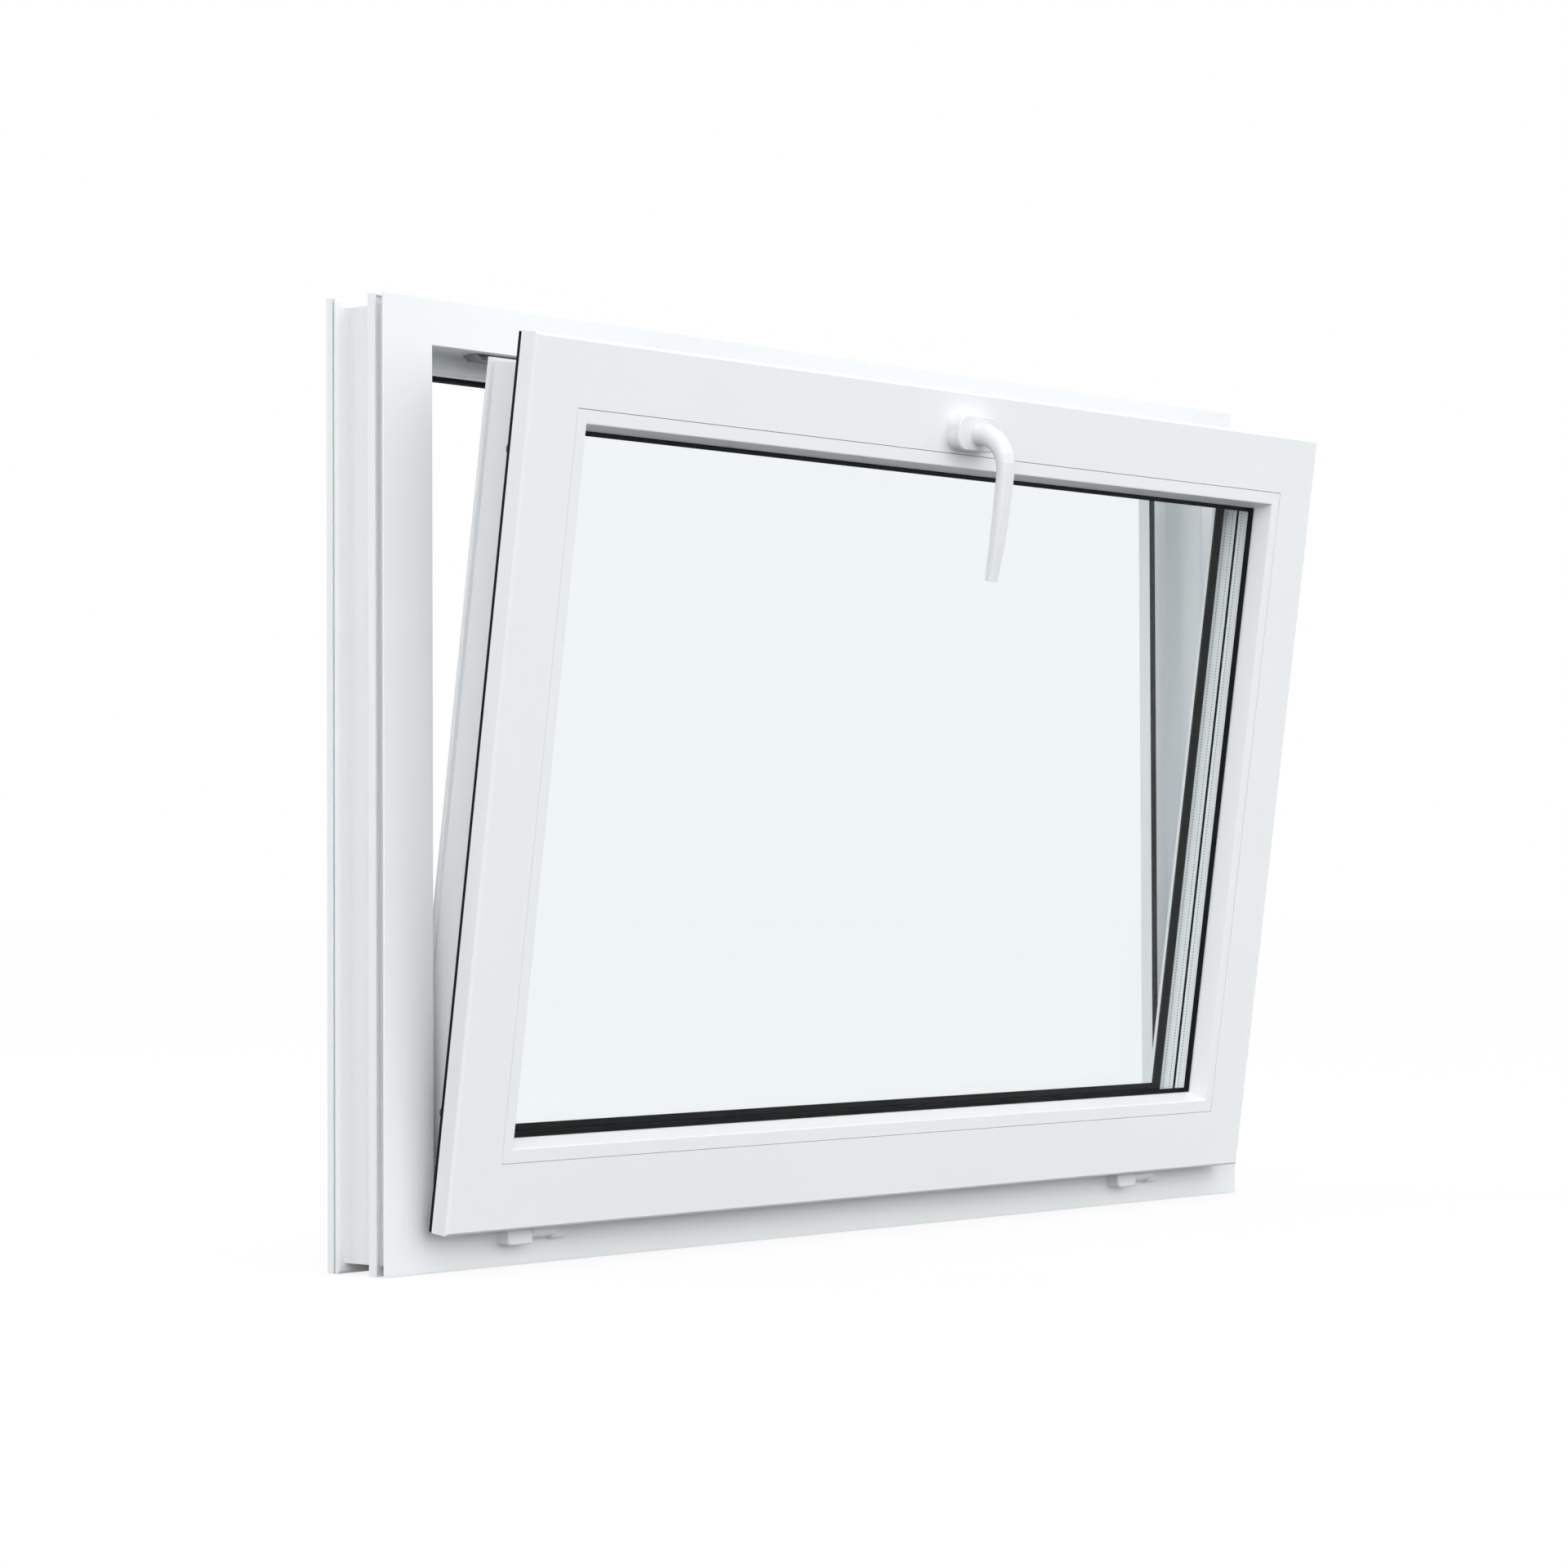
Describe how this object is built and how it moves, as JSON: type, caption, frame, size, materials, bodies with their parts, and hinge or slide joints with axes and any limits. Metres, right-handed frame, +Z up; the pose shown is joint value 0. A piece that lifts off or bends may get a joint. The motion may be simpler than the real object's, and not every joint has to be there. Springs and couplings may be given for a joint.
{
  "type": "window",
  "caption": "White bottom-hung plastic window, its triple-glazed sash tilted into the room on hinges and a stay, with a lever handle on the top rail.",
  "frame": {"origin": "middle of the sill's underside, on the land that seats on the wall opening, 13 mm behind the fixed frame's room face", "axes": "+X to the right seen from the room, +Y to the outside, +Z up; the sash leans towards -Y"},
  "size_m": [1.275, 0.2569, 0.84],
  "materials": {
    "upvc": "satin white",
    "seal_rubber": "matt black",
    "glass": "clear",
    "spacer": "light grey",
    "edge_sealant": "matt black",
    "handle_coat": "satin white",
    "hinge_coat": "satin white",
    "steel": "zinc plated"
  },
  "bodies": {
    "window": {"frame_head": "upvc", "frame_jamb_left": "upvc", "frame_jamb_right": "upvc", "frame_sill": "upvc", "gear_strip_left": "steel", "gear_strip_right": "steel", "gear_strip_top": "steel", "glass_edge_seal_bottom": "edge_sealant", "glass_edge_seal_left": "edge_sealant", "glass_edge_seal_right": "edge_sealant", "glass_edge_seal_top": "edge_sealant", "glass_pane_middle": "glass", "glass_pane_outside": "glass", "glass_pane_room": "glass", "glass_spacer_bottom": "spacer", "glass_spacer_left": "spacer", "glass_spacer_right": "spacer", "glass_spacer_top": "spacer", "glazing_bead_bottom": "upvc", "glazing_bead_left": "upvc", "glazing_bead_right": "upvc", "glazing_bead_top": "upvc", "glazing_gasket_bottom": "seal_rubber", "glazing_gasket_left": "seal_rubber", "glazing_gasket_right": "seal_rubber", "glazing_gasket_top": "seal_rubber", "handle_rosette_base": "handle_coat", "handle_rosette_cover": "handle_coat", "hinge_bearing_left": "hinge_coat", "hinge_bearing_right": "hinge_coat", "hinge_leaf_left": "hinge_coat", "hinge_leaf_right": "hinge_coat", "overlap_seal_bottom": "seal_rubber", "overlap_seal_left": "seal_rubber", "overlap_seal_right": "seal_rubber", "overlap_seal_top": "seal_rubber", "sash_rail_bottom": "upvc", "sash_rail_top": "upvc", "sash_stile_left": "upvc", "sash_stile_right": "upvc", "stay_arm": "steel", "stay_bracket": "steel", "stop_seal_bottom": "seal_rubber", "stop_seal_left": "seal_rubber", "stop_seal_right": "seal_rubber", "stop_seal_top": "seal_rubber"},
    "handle": {"handle_lever": "handle_coat"}
  },
  "joints": [
    {"name": "handle_turn", "type": "hinge", "parent": "window", "child": "handle", "pos_m": [0, -0.14796, 0.75937], "axis": [0, -0.9899, -0.1418], "range_deg": [0, 90]}
  ]
}
